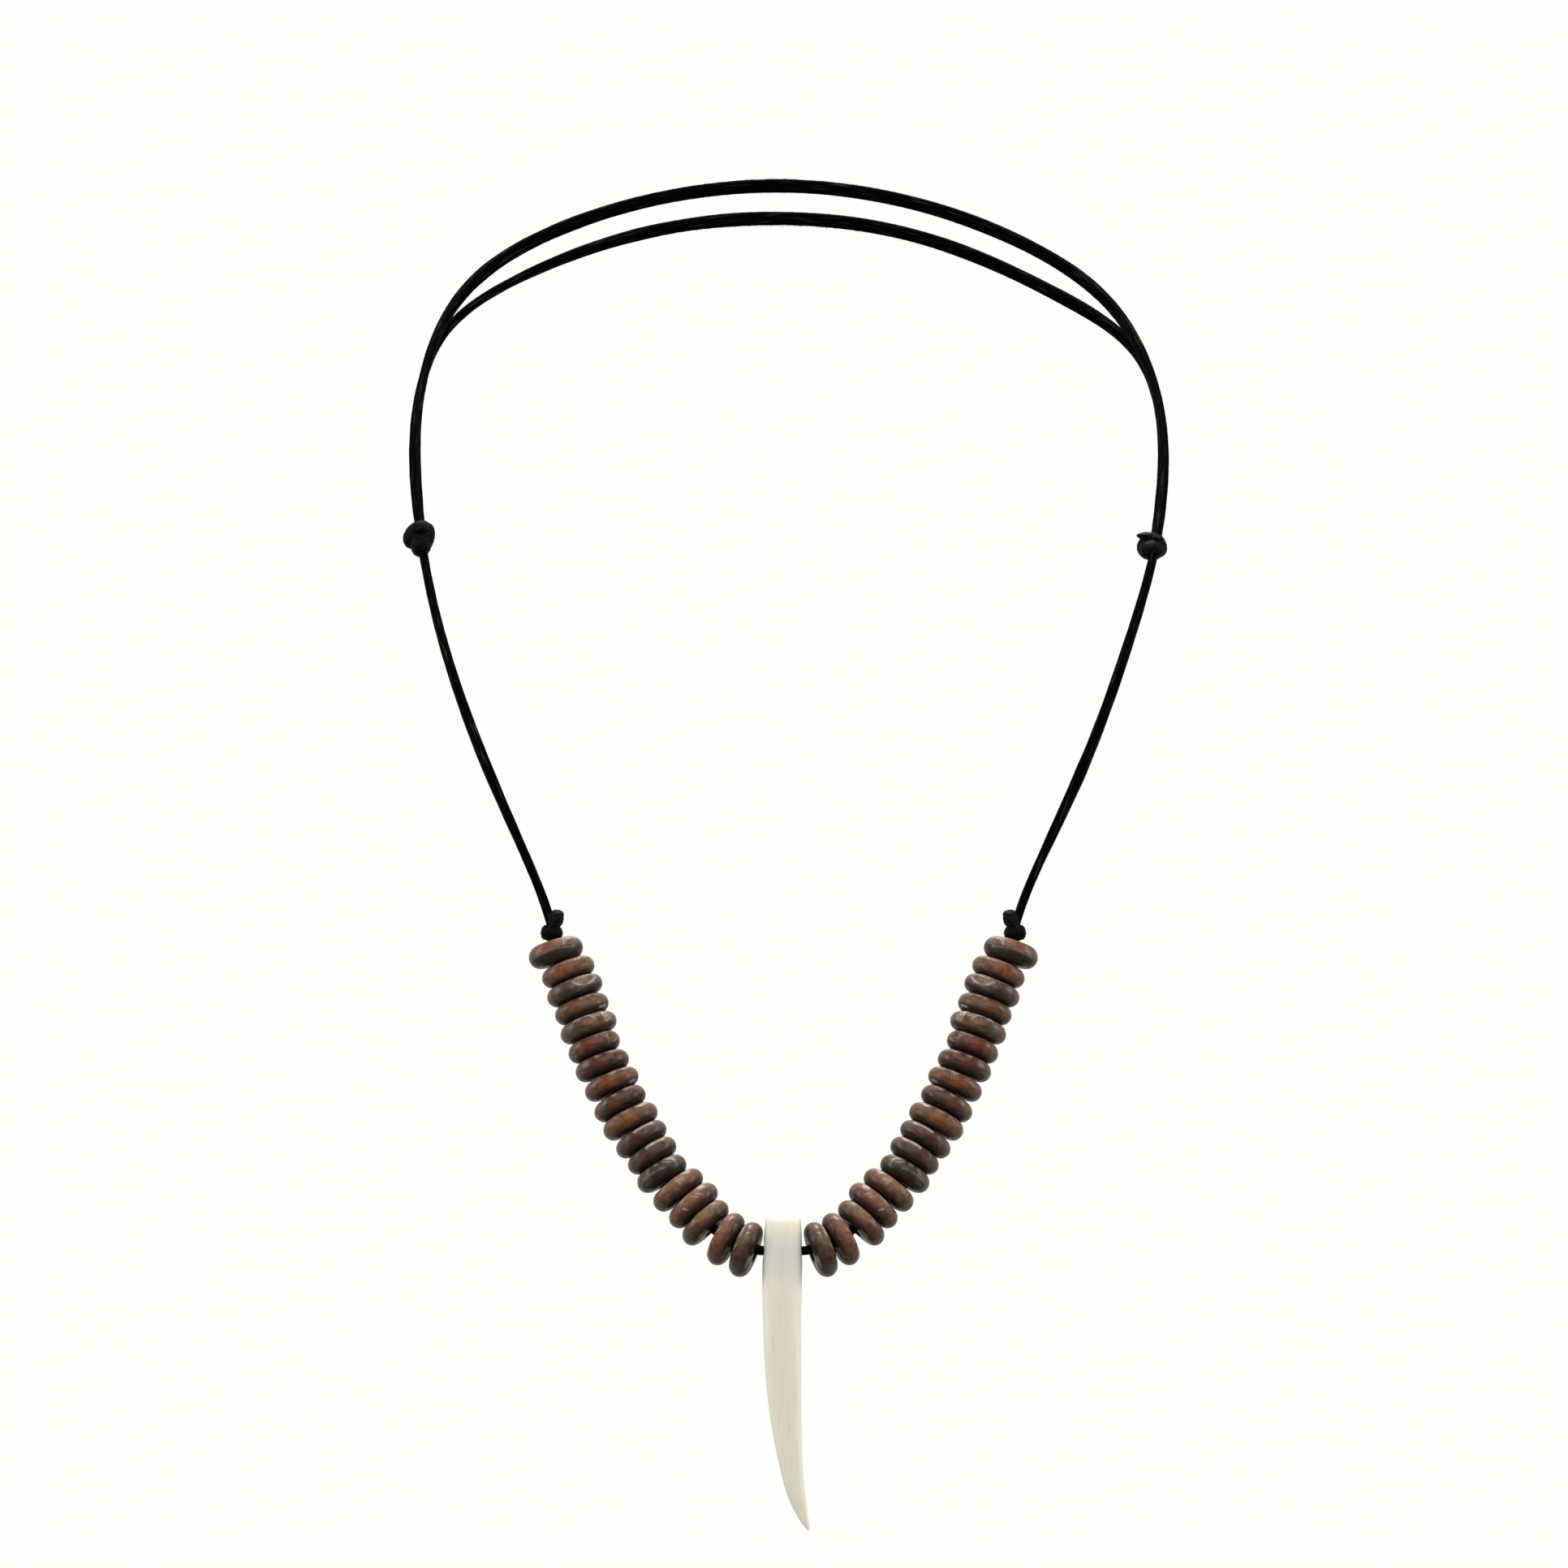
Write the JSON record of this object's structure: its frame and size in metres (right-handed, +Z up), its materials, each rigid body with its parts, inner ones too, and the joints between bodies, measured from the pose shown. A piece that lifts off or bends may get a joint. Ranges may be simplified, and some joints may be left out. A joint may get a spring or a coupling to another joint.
{
  "type": "coconut bead necklace",
  "caption": "Necklace of drilled coconut shell rondelles on a black lace with sliding knots, with a slim curved tusk of bone hanging at the front, in the form that it takes when worn.",
  "frame": {"origin": "middle of the nape, on the inner face of the lace's upper strand", "axes": "+Z up as worn, -Y towards the front, where the pendant hangs, +X to the right as one looks at the front"},
  "size_m": [0.1225, 0.1106, 0.2162],
  "materials": {
    "black_lace": "dyed leather, satin",
    "bone": "polished bone, satin",
    "coconut_umber": "polished coconut shell, satin",
    "coconut_chestnut": "polished coconut shell, satin",
    "coconut_red_brown": "polished coconut shell, satin",
    "coconut_dark": "polished coconut shell, satin"
  },
  "bodies": {
    "necklace": {"lace": "black_lace", "slide_knot_left": "black_lace", "slide_knot_right": "black_lace", "stop_knot_left": "black_lace", "stop_knot_right": "black_lace", "bead_left_01": "coconut_umber", "bead_left_02": "coconut_red_brown", "bead_left_03": "coconut_umber", "bead_left_04": "coconut_red_brown", "bead_left_05": "coconut_dark", "bead_left_06": "coconut_red_brown", "bead_left_07": "coconut_dark", "bead_left_08": "coconut_chestnut", "bead_left_09": "coconut_dark", "bead_left_10": "coconut_chestnut", "bead_left_11": "coconut_umber", "bead_left_12": "coconut_dark", "bead_left_13": "coconut_dark", "bead_left_14": "coconut_chestnut", "bead_left_15": "coconut_red_brown", "bead_left_16": "coconut_umber", "bead_left_17": "coconut_red_brown", "bead_left_18": "coconut_umber", "bead_right_01": "coconut_umber", "bead_right_02": "coconut_red_brown", "bead_right_03": "coconut_umber", "bead_right_04": "coconut_red_brown", "bead_right_05": "coconut_dark", "bead_right_06": "coconut_red_brown", "bead_right_07": "coconut_dark", "bead_right_08": "coconut_chestnut", "bead_right_09": "coconut_dark", "bead_right_10": "coconut_chestnut", "bead_right_11": "coconut_umber", "bead_right_12": "coconut_dark", "bead_right_13": "coconut_dark", "bead_right_14": "coconut_chestnut", "bead_right_15": "coconut_red_brown", "bead_right_16": "coconut_umber", "bead_right_17": "coconut_red_brown", "bead_right_18": "coconut_umber"},
    "pendant": {"tusk_pendant": "bone"}
  },
  "joints": [
    {"name": "pendant_swing", "type": "hinge", "parent": "necklace", "child": "pendant", "pos_m": [0, -0.105, -0.17187], "axis": [1, 0, 0], "range_deg": [-90, 90]}
  ]
}
